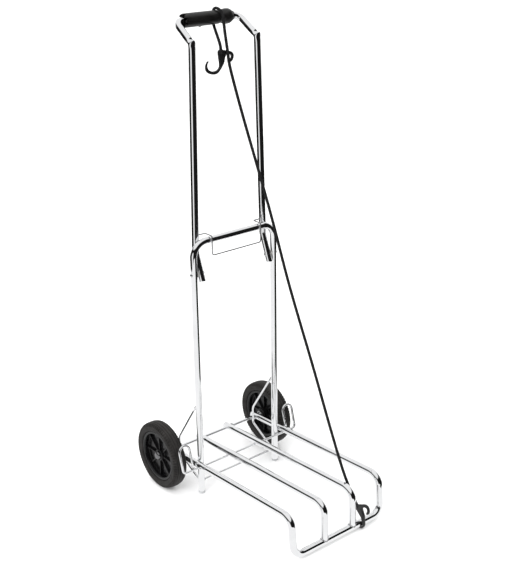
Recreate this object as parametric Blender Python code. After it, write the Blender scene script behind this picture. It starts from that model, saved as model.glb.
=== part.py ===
"""Folding beach cart: chromed tube frame, hinged platform, fold-down handle, two wheels, elastic cord.

Metres, +Z up.  X runs across the cart, -Y is the front (the platform side), the floor is Z = 0.
The origin is the centre of the footprint, on the floor.
Every folding joint is at its zero: platform down, handle up and held by the wire bail.
"""
import math

import bmesh
import bpy
from mathutils import Matrix, Vector

MM = 0.001
GAP = 0.3 * MM              # clearance between pieces that touch or are welded

# ---- driving dimensions ---------------------------------------------------
WHEEL_R = 75.0 * MM         # tyre outer radius
WHEEL_X = 148.0 * MM        # centre of each wheel from the middle of the cart
TYRE_W = 32.0 * MM
AXLE_R = 4.0 * MM
AXLE_BEHIND = 83.0 * MM     # axle behind the leg plane
AXLE_HALF = 160.0 * MM

TUBE_R = 7.0 * MM           # legs and handle, 14 mm tube
TUBE_WALL = 1.2 * MM
LEG_X = 104.0 * MM          # leg centre from the middle
CROSS_Z = 570.0 * MM        # cross bar that joins the legs at the top
LEG_CORNER = 30.0 * MM
FOOT_H = 4.0 * MM

PLAT_R = 7.5 * MM           # platform, 15 mm tube
PLAT_OUT_X = 119.2 * MM
PLAT_IN_X = 38.5 * MM
PLAT_TAIL = 14.0 * MM       # tube that runs on behind the axle
PLAT_TOE_Z = 97.0 * MM      # height of the deck line above its front bend
BAR_AHEAD = 318.6 * MM      # front bar ahead of the leg plane
BAR_Z = 11.5 * MM
OUT_TOE_BACK = 7.0 * MM     # the outer tubes turn down this much before the inner ones
TOE_BEND = 24.0 * MM

PIVOT_Z = 504.4 * MM        # rivets that carry the handle
HANDLE_X = 88.0 * MM
HANDLE_TOP_X = 79.4 * MM
HANDLE_BEHIND = 14.6 * MM   # straight part of the handle behind the leg plane
STUB_END = (-6.1 * MM, 488.0 * MM)
STUB_BEND_Z = 545.0 * MM
NECK_Z = 957.0 * MM
GRIP_BEHIND = 68.2 * MM
GRIP_Z = 992.7 * MM
TOP_CORNER_X = 76.5 * MM
RIVET_R = 2.5 * MM

GRIP_R = 13.6 * MM
GRIP_BALL_R = 15.0 * MM
GRIP_LEFT = -61.0 * MM
GRIP_RIGHT = 60.5 * MM

WIRE_R = 2.5 * MM           # guard, brackets and lower brace
LOWER_ROD_Z = 30.2 * MM
LOOP_IN_X = 131.0 * MM
LOOP_OUT_X = 157.0 * MM
LOOP_TOP_Z = 126.0 * MM
LOOP_LEAN = 15.0 * MM       # how far the top of a guard loop leans back over the tyre

BAIL_R = 1.3 * MM
BAIL_X = 63.0 * MM
BAIL_Z = 580.0 * MM
BAIL_LOW_Z = 539.0 * MM

CORD_R = 3.0 * MM

# The leg plane sits so that the footprint is centred on the origin.
LEG_Y = (BAR_AHEAD + PLAT_R - AXLE_BEHIND - WHEEL_R) / 2
AXLE_Y = LEG_Y + AXLE_BEHIND
BAR_Y = LEG_Y - BAR_AHEAD
SLOPE = (PLAT_TOE_Z - WHEEL_R) / (AXLE_BEHIND + BAR_AHEAD)

PIPE_SIDES = 12

# ---- start clean ----------------------------------------------------------
for ob in list(bpy.data.objects):
    bpy.data.objects.remove(ob, do_unlink=True)


def material(name, colour, rough, metal=0.0):
    mat = bpy.data.materials.new(name)
    mat.use_nodes = True
    bsdf = mat.node_tree.nodes["Principled BSDF"]
    bsdf.inputs["Base Color"].default_value = (*colour, 1.0)
    bsdf.inputs["Roughness"].default_value = rough
    bsdf.inputs["Metallic"].default_value = metal
    mat.diffuse_color = (*colour, 1.0)
    return mat


CHROME = material("chrome", (0.78, 0.79, 0.80), 0.08, 1.0)
ZINC = material("zinc_steel", (0.62, 0.63, 0.64), 0.25, 1.0)
TYRE = material("tyre_rubber", (0.025, 0.025, 0.027), 0.75)
RIM = material("black_plastic", (0.02, 0.02, 0.021), 0.4)
GRIP = material("grip_plastic", (0.022, 0.022, 0.024), 0.45)
HOOK = material("hook_plastic", (0.018, 0.018, 0.02), 0.4)
CORD = material("elastic_cord", (0.02, 0.02, 0.022), 0.8)
GREY = material("grey_plastic", (0.55, 0.56, 0.57), 0.45)
NYLON = material("white_nylon", (0.82, 0.82, 0.80), 0.5)


def empty(name, at, parent=None):
    ob = bpy.data.objects.new(name, None)
    ob.location = at
    bpy.context.collection.objects.link(ob)
    if parent:
        ob.parent = parent
        ob.matrix_parent_inverse = Matrix.Translation(parent.location).inverted()
    return ob


# Parents on the joint axes.
frame = empty("frame_origin", (0, 0, 0))
platform = empty("platform_axis", (0, AXLE_Y, WHEEL_R), frame)
handle = empty("handle_axis", (0, LEG_Y, PIVOT_Z), frame)
bail_axis = empty("bail_axis", (0, LEG_Y + HANDLE_BEHIND, BAIL_Z), handle)
wheel_axis = {s: empty(f"wheel_axis_{n}", (s * WHEEL_X, AXLE_Y, WHEEL_R), frame)
              for s, n in ((-1, "left"), (1, "right"))}


def world_at(parent):
    """Where a parent empty stands; the empties are only moved, never turned."""
    return Vector(parent.location)


def put(name, bm, mat, parent, sharp=40):
    """Store a bmesh that is drawn in world coordinates as an object hung on its parent."""
    here = world_at(parent)
    bmesh.ops.translate(bm, verts=bm.verts, vec=-here)
    bmesh.ops.recalc_face_normals(bm, faces=bm.faces)
    mesh = bpy.data.meshes.new(name)
    bm.to_mesh(mesh)
    bm.free()
    mesh.shade_smooth()
    mesh.set_sharp_from_angle(angle=math.radians(sharp))
    mesh.materials.append(mat)
    ob = bpy.data.objects.new(name, mesh)
    bpy.context.collection.objects.link(ob)
    ob.parent = parent
    return ob


def rounded(points, radii, step=20):
    """A path through points whose corners are arcs of the given radii, one point every step degrees."""
    pts = [Vector(p) for p in points]
    out = [pts[0]]
    for i in range(1, len(pts) - 1):
        a, b, c = pts[i - 1], pts[i], pts[i + 1]
        u, v = (a - b).normalized(), (c - b).normalized()
        turn = math.pi - u.angle(v)
        r = radii[i - 1] if isinstance(radii, (list, tuple)) else radii
        if turn < 1e-3 or r <= 0:
            out.append(b)
            continue
        cut = r * math.tan(turn / 2)
        centre = b + (u + v).normalized() * (r / math.cos(turn / 2))
        start, axis = b + u * cut - centre, u.cross(v).normalized()
        n = max(2, round(math.degrees(turn) / step))
        for k in range(n + 1):
            out.append(centre + Matrix.Rotation(-turn * k / n, 3, axis) @ start)
    out.append(pts[-1])
    return out


def rings(bm, path, radius, sides):
    """Cross-section rings carried along a path without twisting."""
    path = [Vector(p) for p in path]
    tangent = (path[1] - path[0]).normalized()
    side = tangent.orthogonal().normalized()
    if abs(tangent.x) < 0.9:
        side = (Vector((1, 0, 0)) - tangent * tangent.x).normalized()
    made = []
    for i, p in enumerate(path):
        before = (p - path[i - 1]).normalized() if i else None
        after = (path[i + 1] - p).normalized() if i < len(path) - 1 else None
        if i:
            side = tangent.rotation_difference(before) @ side
            tangent = before
        up = tangent.cross(side).normalized()
        ring = []
        for k in range(sides):
            t = 2 * math.pi * (k + 0.5) / sides
            off = side * (math.cos(t) * radius) + up * (math.sin(t) * radius)
            if before and after:
                # the ring lies on the mitre plane between the two runs
                mitre = (before + after).normalized()
                off -= tangent * (off.dot(mitre) / tangent.dot(mitre))
            ring.append(bm.verts.new(p + off))
        made.append(ring)
    return made


def skin(bm, made, closed=False):
    pairs = list(zip(made, made[1:])) + ([(made[-1], made[0])] if closed else [])
    for a, b in pairs:
        n = len(a)
        for k in range(n):
            bm.faces.new((a[k], a[(k + 1) % n], b[(k + 1) % n], b[k]))


def rod(name, path, radius, mat, parent, sides=8):
    """A solid round wire or bar along a path."""
    bm = bmesh.new()
    made = rings(bm, path, radius, sides)
    skin(bm, made)
    bm.faces.new(made[0])
    bm.faces.new(made[-1])
    return put(name, bm, mat, parent, 50)


def pipe(name, path, radius, wall, mat, parent, sides=PIPE_SIDES):
    """An open-ended tube along a path."""
    bm = bmesh.new()
    outer = rings(bm, path, radius, sides)
    inner = rings(bm, path, radius - wall, sides)
    skin(bm, outer)
    skin(bm, inner)
    skin(bm, [outer[0], inner[0]])
    skin(bm, [outer[-1], inner[-1]])
    return put(name, bm, mat, parent, 50)


def turned(name, profile, centre, mat, parent, steps=24, ring=False):
    """A body turned about a line along X: profile is (x, radius) pairs, a closed loop if ring."""
    bm = bmesh.new()
    made = []
    for k in range(steps):
        a = 2 * math.pi * (k + 0.5) / steps
        made.append([bm.verts.new(Vector(centre) + Vector((x, r * math.cos(a), r * math.sin(a))))
                     for x, r in profile])
    n = len(profile)
    for k in range(steps):
        a, b = made[k], made[(k + 1) % steps]
        for i in range(n if ring else n - 1):
            j = (i + 1) % n
            bm.faces.new((a[i], a[j], b[j], b[i]))
    if not ring:
        bm.faces.new([m[0] for m in made])
        bm.faces.new([m[-1] for m in made])
    return put(name, bm, mat, parent, 35)


def drill(ob, x0, x1, y, z, radius, sides=16):
    """Cut a round hole along X."""
    bm = bmesh.new()
    bmesh.ops.create_cone(bm, cap_ends=True, segments=sides, radius1=radius, radius2=radius, depth=abs(x1 - x0))
    bmesh.ops.rotate(bm, verts=bm.verts, matrix=Matrix.Rotation(math.pi / 2, 3, "Y"))
    bmesh.ops.translate(bm, verts=bm.verts, vec=((x0 + x1) / 2, y, z))
    cutter = put(f"cut_{ob.name}_{len(ob.modifiers)}", bm, ZINC, ob.parent)
    cutter.hide_render = True
    cutter.display_type = "WIRE"
    mod = ob.modifiers.new(f"hole_{len(ob.modifiers)}", "BOOLEAN")
    mod.operation = "DIFFERENCE"
    mod.solver = "EXACT"
    mod.object = cutter


# ---- frame ----------------------------------------------------------------
leg_path = rounded([(-LEG_X, LEG_Y, FOOT_H + GAP), (-LEG_X, LEG_Y, CROSS_Z),
                    (LEG_X, LEG_Y, CROSS_Z), (LEG_X, LEG_Y, FOOT_H + GAP)], LEG_CORNER)
frame_tube = pipe("frame_tube", leg_path, TUBE_R, TUBE_WALL, CHROME, frame)
for s in (-1, 1):
    drill(frame_tube, s * (LEG_X - 12 * MM), s * (LEG_X + 12 * MM), LEG_Y, PIVOT_Z, RIVET_R + 0.15 * MM)


def turned_up(name, profile, x, y, mat, parent, steps=12):
    """A body turned about a vertical line: profile is (radius, z) pairs from bottom to top."""
    bm = bmesh.new()
    made = [[bm.verts.new((x + r * math.cos(2 * math.pi * (k + 0.5) / steps),
                           y + r * math.sin(2 * math.pi * (k + 0.5) / steps), z)) for k in range(steps)]
            for r, z in profile]
    skin(bm, made)
    bm.faces.new(made[0])
    bm.faces.new(made[-1])
    return put(name, bm, mat, parent, 35)


BORE_R = TUBE_R - TUBE_WALL
for s, side in ((-1, "left"), (1, "right")):
    turned_up(f"foot_plug_{side}",
              [(TUBE_R - 1.2 * MM, 0), (TUBE_R + 0.4 * MM, 1.4 * MM), (TUBE_R + 0.4 * MM, FOOT_H),
               (BORE_R - GAP, FOOT_H), (BORE_R - GAP, 14 * MM), (BORE_R - 1.2 * MM, 16 * MM)],
              s * LEG_X, LEG_Y, GREY, frame)

# Guard rod across the front of the legs; each end rises as a loop in front of its tyre.
deck_z = WHEEL_R + SLOPE * (AXLE_BEHIND + TUBE_R + WIRE_R + GAP)
GUARD_Z = deck_z - PLAT_R * math.sqrt(1 + SLOPE ** 2) - GAP - WIRE_R
GUARD_Y = LEG_Y - TUBE_R - WIRE_R - GAP
loop_top_y = GUARD_Y + LOOP_LEAN
half = (LOOP_OUT_X - LOOP_IN_X) / 2


def guard_half(s):
    end_y = GUARD_Y + LOOP_LEAN * (2 * WIRE_R + GAP) / (LOOP_TOP_Z - GUARD_Z)
    return [(s * LOOP_IN_X, end_y, GUARD_Z + 2 * WIRE_R + GAP), (s * LOOP_IN_X, loop_top_y, LOOP_TOP_Z),
            (s * LOOP_OUT_X, loop_top_y, LOOP_TOP_Z), (s * LOOP_OUT_X, GUARD_Y, GUARD_Z)]


guard_path = guard_half(-1) + guard_half(1)[::-1]
rod("guard_rod", rounded(guard_path, [half * 0.97, half * 0.97, 8 * MM, 8 * MM, half * 0.97, half * 0.97], 22),
    WIRE_R, CHROME, frame)

rod("lower_rod", [(-LEG_X + TUBE_R + GAP, LEG_Y, LOWER_ROD_Z), (LEG_X - TUBE_R - GAP, LEG_Y, LOWER_ROD_Z)],
    WIRE_R, CHROME, frame)

# Bent wire behind each leg that carries the axle.
post_y = AXLE_Y - AXLE_R - WIRE_R - GAP
for s, side in ((-1, "left"), (1, "right")):
    x = s * LEG_X
    rod(f"axle_bracket_{side}",
        rounded([(x, LEG_Y + TUBE_R + GAP + 0.83 * WIRE_R, 206 * MM), (x, post_y, 105 * MM), (x, post_y, 66 * MM),
                 (x, LEG_Y + TUBE_R + GAP + 0.46 * WIRE_R, 27 * MM)], [22 * MM, 10 * MM], 12), WIRE_R, CHROME, frame)

turned("axle", [(-AXLE_HALF, AXLE_R - 0.8 * MM), (-AXLE_HALF + 0.8 * MM, AXLE_R), (AXLE_HALF - 0.8 * MM, AXLE_R),
                (AXLE_HALF, AXLE_R - 0.8 * MM)], (0, AXLE_Y, WHEEL_R), ZINC, frame, 16)

# ---- wheels ---------------------------------------------------------------
HUB_R = 13.0 * MM
HUB_IN = 17.0 * MM          # hub length on the inner side of the wheel's middle plane
HUB_OUT = 9.0 * MM          # and on the outer side, where the cap sits inside the dish
BUSH_R = 6.2 * MM
RIM_R = 56.0 * MM
RIM_IN = 49.0 * MM
RIM_HALF = 12.5 * MM
SPOKES = 8
WEB_HALF = 1.5 * MM


def tyre_profile():
    w = TYRE_W / 2
    half_side = [(RIM_HALF - 1.0 * MM, RIM_R + GAP), (w - 1.6 * MM, RIM_R + 1.6 * MM), (w, RIM_R + 6 * MM),
                 (w - 0.4 * MM, WHEEL_R - 7 * MM), (w - 3.0 * MM, WHEEL_R - 2.4 * MM),
                 (w - 6.5 * MM, WHEEL_R - 0.7 * MM), (4 * MM, WHEEL_R)]
    return half_side + [(-x, r) for x, r in reversed(half_side)]


def rim(name, parent, s):
    """Rim ring, web and hub turned in one piece, with eight ribs joined on across the web."""
    x0, y0, z0 = world_at(parent)
    lip = [(RIM_HALF, RIM_IN + 1.5 * MM), (RIM_HALF, RIM_R - 0.5 * MM), (RIM_HALF - 1.5 * MM, RIM_R)]
    inward = [(RIM_HALF - 3 * MM, RIM_IN), (WEB_HALF + 0.8 * MM, RIM_IN - 0.6 * MM), (WEB_HALF, RIM_IN - 1.8 * MM),
              (WEB_HALF, HUB_R + 0.8 * MM)]
    profile = lip + [(-x, r) for x, r in reversed(lip)] + [(-x, r) for x, r in inward]
    profile += [(-HUB_IN + 2 * MM, HUB_R), (-HUB_IN, HUB_R - 1.5 * MM), (-HUB_IN, BUSH_R + GAP),
                (HUB_OUT, BUSH_R + GAP), (HUB_OUT, HUB_R - 1.5 * MM), (HUB_OUT - 1.5 * MM, HUB_R)]
    profile += inward[::-1]
    body = turned(name, [(s * x, r) for x, r in profile], (x0, y0, z0), RIM, parent, 32, ring=True)
    for k in range(SPOKES):
        bm = bmesh.new()
        bmesh.ops.create_cube(bm, size=1)
        inner, outer = HUB_R - 1.0 * MM, RIM_IN + 1.0 * MM
        for v in bm.verts:
            out = v.co.z > 0
            v.co = Vector((v.co.x * 2 * (7.0 * MM if out else 6.0 * MM),
                           v.co.y * 2 * (1.0 * MM if out else 1.3 * MM), outer if out else inner))
        bmesh.ops.rotate(bm, verts=bm.verts, matrix=Matrix.Rotation(2 * math.pi * k / SPOKES, 3, "X"))
        bmesh.ops.translate(bm, verts=bm.verts, vec=(x0, y0, z0))
        rib = put(f"cut_{name}_rib_{k}", bm, RIM, parent)
        rib.hide_render = True
        rib.display_type = "WIRE"
        mod = body.modifiers.new("join", "BOOLEAN")
        mod.operation = "UNION"
        mod.solver = "EXACT"
        mod.object = rib
    return body


for s, side in ((-1, "left"), (1, "right")):
    spin = wheel_axis[s]
    at = world_at(spin)
    turned(f"tyre_{side}", tyre_profile(), at, TYRE, spin, 36, ring=True)
    rim(f"rim_{side}", spin, s)
    bore = AXLE_R + 0.1 * MM
    turned(f"hub_bush_{side}", [(s * x, r) for x, r in ((HUB_OUT + 0.8 * MM, bore), (HUB_OUT + 0.8 * MM, BUSH_R),
                                                        (-HUB_IN - 0.8 * MM, BUSH_R), (-HUB_IN - 0.8 * MM, bore))],
           at, NYLON, spin, 16, ring=True)
    # press-on cap outside, thrust washer inside
    face = WHEEL_X + HUB_OUT + 0.8 * MM + GAP
    turned(f"axle_cap_{side}",
           [(s * face, AXLE_R + GAP), (s * face, 9.0 * MM), (s * (face + 2.0 * MM), 9.0 * MM),
            (s * (face + 4.4 * MM), 7.4 * MM), (s * (face + 5.4 * MM), 4.6 * MM), (s * (face + 5.6 * MM), 0.8 * MM),
            (s * (face + 2.5 * MM), 0.8 * MM), (s * (face + 2.5 * MM), AXLE_R + GAP)],
           (0, AXLE_Y, WHEEL_R), CHROME, frame, 16, ring=True)
    inside = WHEEL_X - HUB_IN - 0.8 * MM - GAP
    turned(f"wheel_washer_{side}",
           [(s * inside, AXLE_R + GAP), (s * inside, 8.0 * MM), (s * (inside - 1.4 * MM), 8.0 * MM),
            (s * (inside - 1.4 * MM), AXLE_R + GAP)], (0, AXLE_Y, WHEEL_R), ZINC, frame, 16, ring=True)

# ---- platform -------------------------------------------------------------
tail = Vector((0, 1, -SLOPE)).normalized() * PLAT_TAIL
tail_y, tail_z = AXLE_Y + tail.y, WHEEL_R + tail.z


def deck_height(y):
    return WHEEL_R + SLOPE * (AXLE_Y - y)


toe_y = BAR_Y + OUT_TOE_BACK
outer_path = rounded([(-PLAT_OUT_X, tail_y, tail_z), (-PLAT_OUT_X, toe_y, deck_height(toe_y)),
                      (-PLAT_OUT_X, BAR_Y, BAR_Z), (PLAT_OUT_X, BAR_Y, BAR_Z),
                      (PLAT_OUT_X, toe_y, deck_height(toe_y)), (PLAT_OUT_X, tail_y, tail_z)], TOE_BEND)
outer_tube = pipe("platform_outer_tube", outer_path, PLAT_R, TUBE_WALL, CHROME, platform)
for s in (-1, 1):
    drill(outer_tube, s * (PLAT_OUT_X - 12 * MM), s * (PLAT_OUT_X + 12 * MM), AXLE_Y, WHEEL_R, AXLE_R + 0.15 * MM)
for s, side in ((-1, "left"), (1, "right")):
    x = s * PLAT_IN_X
    tube = pipe(f"platform_inner_tube_{side}",
                rounded([(x, tail_y, tail_z), (x, BAR_Y, deck_height(BAR_Y)), (x, BAR_Y, BAR_Z + PLAT_R + GAP)],
                        TOE_BEND), PLAT_R, TUBE_WALL, CHROME, platform)
    drill(tube, x - 12 * MM, x + 12 * MM, AXLE_Y, WHEEL_R, AXLE_R + 0.15 * MM)
    # push-on clips that keep each tube in its place on the axle
for s, side in ((-1, "left"), (1, "right")):
    for where, x in (("inner", PLAT_IN_X + PLAT_R + GAP), ("outer", PLAT_OUT_X - PLAT_R - GAP - 1.2 * MM)):
        turned(f"axle_clip_{where}_{side}",
               [(s * x, AXLE_R + GAP), (s * x, 6.6 * MM), (s * (x + 1.2 * MM), 6.6 * MM),
                (s * (x + 1.2 * MM), AXLE_R + GAP)], (0, AXLE_Y, WHEEL_R), ZINC, frame, 12, ring=True)

# ---- handle ---------------------------------------------------------------
hy = LEG_Y + HANDLE_BEHIND


def handle_half(s):
    return [(s * HANDLE_X, LEG_Y + STUB_END[0], STUB_END[1]), (s * HANDLE_X, hy, STUB_BEND_Z),
            (s * HANDLE_TOP_X, hy, NECK_Z), (s * TOP_CORNER_X, LEG_Y + GRIP_BEHIND, GRIP_Z)]


handle_path = rounded(handle_half(-1) + handle_half(1)[::-1],
                      [30 * MM, 12 * MM, 17 * MM, 17 * MM, 12 * MM, 30 * MM])
handle_tube = pipe("handle_tube", handle_path, TUBE_R, TUBE_WALL, CHROME, handle)
bail_hole_x = HANDLE_X - (HANDLE_X - HANDLE_TOP_X) * (BAIL_Z - STUB_BEND_Z) / (NECK_Z - STUB_BEND_Z)
for s in (-1, 1):
    drill(handle_tube, s * (HANDLE_X - 12 * MM), s * (HANDLE_X + 12 * MM), LEG_Y, PIVOT_Z, RIVET_R + 0.15 * MM)
for s in (-1, 1):
    drill(handle_tube, s * (bail_hole_x - 12 * MM), s * (bail_hole_x - 3 * MM), hy, BAIL_Z, BAIL_R + 0.15 * MM, 12)

# One rivet on each side goes through the leg, a spacer and the handle tube.
for s, side in ((-1, "left"), (1, "right")):
    out_x = LEG_X + TUBE_R + 0.2 * MM
    in_x = HANDLE_X - TUBE_R - 0.3 * MM
    turned(f"pivot_rivet_{side}",
           [(s * (out_x + 2.2 * MM), 1.4 * MM), (s * (out_x + 1.6 * MM), 3.6 * MM), (s * (out_x + 0.4 * MM), 4.6 * MM),
            (s * out_x, 4.6 * MM), (s * out_x, RIVET_R), (s * in_x, RIVET_R), (s * in_x, 4.0 * MM),
            (s * (in_x - 1.0 * MM), 3.8 * MM), (s * (in_x - 1.8 * MM), 2.0 * MM)],
           (0, LEG_Y, PIVOT_Z), ZINC, frame, 16)
    a, b = HANDLE_X + TUBE_R + GAP, LEG_X - TUBE_R - GAP
    turned(f"pivot_spacer_{side}",
           [(s * a, RIVET_R + 0.1 * MM), (s * a, 6.5 * MM), (s * b, 6.5 * MM), (s * b, RIVET_R + 0.1 * MM)],
           (0, LEG_Y, PIVOT_Z), NYLON, frame, 16, ring=True)

# Ribbed sleeve on the top bar: plain barrel, a waist and a round end; the left end is open with ribs inside.
SLEEVE_BORE = TUBE_R + GAP
barrel = [(GRIP_LEFT, SLEEVE_BORE + 4.4 * MM), (GRIP_LEFT, GRIP_R - 1.4 * MM), (GRIP_LEFT + 1.8 * MM, GRIP_R),
          (22 * MM, GRIP_R - 0.3 * MM), (30 * MM, GRIP_R - 1.6 * MM), (34 * MM, GRIP_R - 0.6 * MM),
          (39 * MM, GRIP_BALL_R - 0.2 * MM), (45 * MM, GRIP_BALL_R), (51 * MM, GRIP_BALL_R - 1.2 * MM),
          (56 * MM, GRIP_BALL_R - 4.2 * MM), (GRIP_RIGHT, SLEEVE_BORE + 1.2 * MM), (GRIP_RIGHT, SLEEVE_BORE),
          (GRIP_LEFT + 9 * MM, SLEEVE_BORE), (GRIP_LEFT + 9 * MM, SLEEVE_BORE + 4.4 * MM)]
grip_at = (0, LEG_Y + GRIP_BEHIND, GRIP_Z)
grip = turned("grip", barrel, grip_at, GRIP, handle, 24, ring=True)
for k in range(8):
    # radial ribs inside the open end
    bm = bmesh.new()
    bmesh.ops.create_cube(bm, size=1)
    bmesh.ops.scale(bm, verts=bm.verts, vec=(8.6 * MM, 1.5 * MM, 5.0 * MM))
    bmesh.ops.translate(bm, verts=bm.verts, vec=(GRIP_LEFT + 5.2 * MM, 0, SLEEVE_BORE + 2.6 * MM))
    bmesh.ops.rotate(bm, verts=bm.verts, matrix=Matrix.Rotation(2 * math.pi * k / 8, 3, "X"))
    bmesh.ops.translate(bm, verts=bm.verts, vec=grip_at)
    rib = put(f"cut_grip_rib_{k}", bm, GRIP, handle)
    rib.hide_render = True
    rib.display_type = "WIRE"
    mod = grip.modifiers.new(f"rib_{k}", "BOOLEAN")
    mod.operation = "UNION"
    mod.solver = "EXACT"
    mod.object = rib

# ---- wire bail that locks the handle to the cross bar ----------------------
bail_front = LEG_Y - TUBE_R - BAIL_R - GAP
pin_x = bail_hole_x - TUBE_R + 4.0 * MM


def bail_half(s):
    return [(s * pin_x, hy, BAIL_Z), (s * BAIL_X, hy, BAIL_Z), (s * BAIL_X, bail_front, BAIL_Z),
            (s * BAIL_X, bail_front, BAIL_LOW_Z)]


rod("lock_bail", rounded(bail_half(-1) + bail_half(1)[::-1],
                         [3 * MM, 3.5 * MM, 5 * MM, 5 * MM, 3.5 * MM, 3 * MM], 24), BAIL_R, CHROME, bail_axis)


# ---- elastic cord and its two hooks ----------------------------------------
# The hook's outline in millimetres, with the J's centre at (0, 0): from the shank's right edge round the inside and
# the outside of the curl to the head, and down the other side of the shank.
CURL = ((22.8, 8.6), (23.8, 13.8), (25.2, 18.2), (28.6, 21.4), (33.4, 22.6), (37.8, 21.6), (41, 18.4), (40.8, 15),
        (37.4, 11.8), (33.4, 9.8), (32.6, 8), (34.4, 6.4), (38, 6.4), (42.6, 9.4), (45.8, 14.6), (46.2, 20.6),
        (42.8, 25.6), (37.2, 28.2), (30.6, 29.4), (24, 30.8), (16.4, 31.6), (11.4, 31), (9.5, 28.4), (9.9, 22),
        (11, 14.5), (12.3, 6))
# Inside and then outside of the upper hook's wide J.
WIDE_J = ((11.8, 0.6), (8.8, -3.6), (3, -6.6), (-1.5, -7.2), (-6, -6.6), (-14.4, -3), (-17.2, 0), (-18.2, 3.6),
          (-17.2, 9.6), (-14.6, 13.2), (-15.4, 14.3), (-19.2, 11.6), (-21.6, 8), (-22.4, 4.4), (-22.4, 0),
          (-21.2, -3.8), (-15.8, -9.2), (-11, -11.6), (-6, -12.6), (-1, -12.9), (4.2, -12), (8.4, -9.8), (12, -6.4),
          (19.4, 2.8))


def bar_j():
    """Inside and then outside of the lower hook's J, round the front bar and thin enough to clear the floor."""
    def arc(a, r):
        return (math.cos(math.radians(a)) * r, math.sin(math.radians(a)) * r)

    inside = [arc(a, 10.4) for a in range(0, -211, -15)]
    outside = [arc(a, 12.3 + 2.0 * min(1, (a - 150) / 120)) for a in range(150, 331, 15)]
    return tuple(inside + outside + [(15.6, -2.6), (19.4, 2.8)])


def hook(name, origin, across, up, j_part, parent, thick=6.0 * MM):
    """A flat moulded hook drawn in a plane.

    across points from the open side of the J to its shank, up points to the head.
    """
    across, up = Vector(across).normalized(), Vector(up).normalized()
    out = across.cross(up).normalized()
    outline = [Vector(p) * MM for p in CURL + j_part]
    bm = bmesh.new()
    base = [bm.verts.new(Vector(origin) + across * p.x + up * p.y - out * (thick / 2)) for p in outline]
    face = bm.faces.new(base)
    ext = bmesh.ops.extrude_face_region(bm, geom=[face])
    bmesh.ops.translate(bm, verts=[v for v in ext["geom"] if isinstance(v, bmesh.types.BMVert)], vec=out * thick)
    return put(name, bm, HOOK, parent, 30)


HEAD_U, HEAD_V = 16.0 * MM, 31.6 * MM
UP_HOOK = Vector((-17.4 * MM, LEG_Y + 27.5 * MM, 903.8 * MM))
hook("hook_upper", UP_HOOK, (1, 0, 0), (0, 0, 1), WIDE_J, handle)
# The lower hook hangs from the front bar with its head straight above the bar.
LOW_X = 61.0 * MM
LEAN = math.radians(40)
low_up = Vector((0, math.sin(LEAN), math.cos(LEAN)))
low_across = Vector((0, -math.cos(LEAN), math.sin(LEAN)))
LOW_HOOK = Vector((LOW_X, BAR_Y + 0.5 * MM, BAR_Z + 2.5 * MM))
hook("hook_lower", LOW_HOOK, low_across, low_up, bar_j(), platform)

# Route of the cord: fixed in the head of the upper hook, up behind the grip, over it, down in front
# of the hook and straight on to the lower hook.
wrap_r = GRIP_R + CORD_R + 0.4 * MM
start = UP_HOOK + Vector((HEAD_U, 0, HEAD_V + GAP))
finish = LOW_HOOK + low_across * HEAD_U + low_up * (HEAD_V + GAP)
route = [start, start + Vector((0, 0, 3 * MM)), start + Vector((1.0 * MM, 3.0 * MM, 10.0 * MM))]
for a, x in ((-50, 21.5), (-28, 24.5), (-6, 26.5), (16, 26), (38, 24), (60, 22.5), (82, 21.5), (104, 21.5),
             (126, 22.5), (146, 24)):
    t = math.radians(a)
    route.append(Vector((x * MM, LEG_Y + GRIP_BEHIND + wrap_r * math.cos(t), GRIP_Z + wrap_r * math.sin(t))))
for x, y, z in ((18, 36, 962), (12, 19.8, 930), (11.5, 15.5, 912), (15.5, -5, 842), (26, -84, 625), (31, -132, 488),
                (38, -204, 322), (44, -252, 196), (49.6, -288, 112)):
    route.append(Vector((x * MM, LEG_Y + y * MM, z * MM)))
route += [finish + low_up * 9 * MM, finish + low_up * 3 * MM, finish]


def smooth(points, gap_long, gap_short):
    """A centripetal Catmull-Rom curve through the points."""
    pts = [points[0] * 2 - points[1]] + points + [points[-1] * 2 - points[-2]]
    out = []
    for i in range(1, len(pts) - 2):
        p0, p1, p2, p3 = pts[i - 1:i + 3]
        t0, t1 = 0.0, (p1 - p0).length ** 0.5
        t2 = t1 + (p2 - p1).length ** 0.5
        t3 = t2 + (p3 - p2).length ** 0.5
        run = (p2 - p1).length
        n = max(1, round(run / (gap_long if run > 40 * MM else gap_short)))
        for k in range(n):
            t = t1 + (t2 - t1) * k / n
            a1 = p0 * ((t1 - t) / (t1 - t0)) + p1 * ((t - t0) / (t1 - t0))
            a2 = p1 * ((t2 - t) / (t2 - t1)) + p2 * ((t - t1) / (t2 - t1))
            a3 = p2 * ((t3 - t) / (t3 - t2)) + p3 * ((t - t2) / (t3 - t2))
            b1 = a1 * ((t2 - t) / (t2 - t0)) + a2 * ((t - t0) / (t2 - t0))
            b2 = a2 * ((t3 - t) / (t3 - t1)) + a3 * ((t - t1) / (t3 - t1))
            out.append(b1 * ((t2 - t) / (t2 - t1)) + b2 * ((t - t1) / (t2 - t1)))
    return out + [points[-1]]


line = smooth(route, 24 * MM, 10 * MM)
curve = bpy.data.curves.new("cord", "CURVE")
curve.dimensions = "3D"
curve.bevel_depth = CORD_R
curve.bevel_resolution = 2
curve.use_fill_caps = True
spline = curve.splines.new("POLY")
spline.points.add(len(line) - 1)
here = world_at(handle)
for p, q in zip(spline.points, line):
    p.co = (*(q - here), 1.0)
curve.materials.append(CORD)
cord = bpy.data.objects.new("cord", curve)
bpy.context.collection.objects.link(cord)
cord.parent = handle
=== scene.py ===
"""Looks for the folding beach cart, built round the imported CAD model.

Metres, +Z up, -Y is the front.  Routes and sizes repeat the CAD source, so every piece lies where its solid lies.
"""
import math

import bmesh
import bpy
from mathutils import Matrix, Vector, noise


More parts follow.
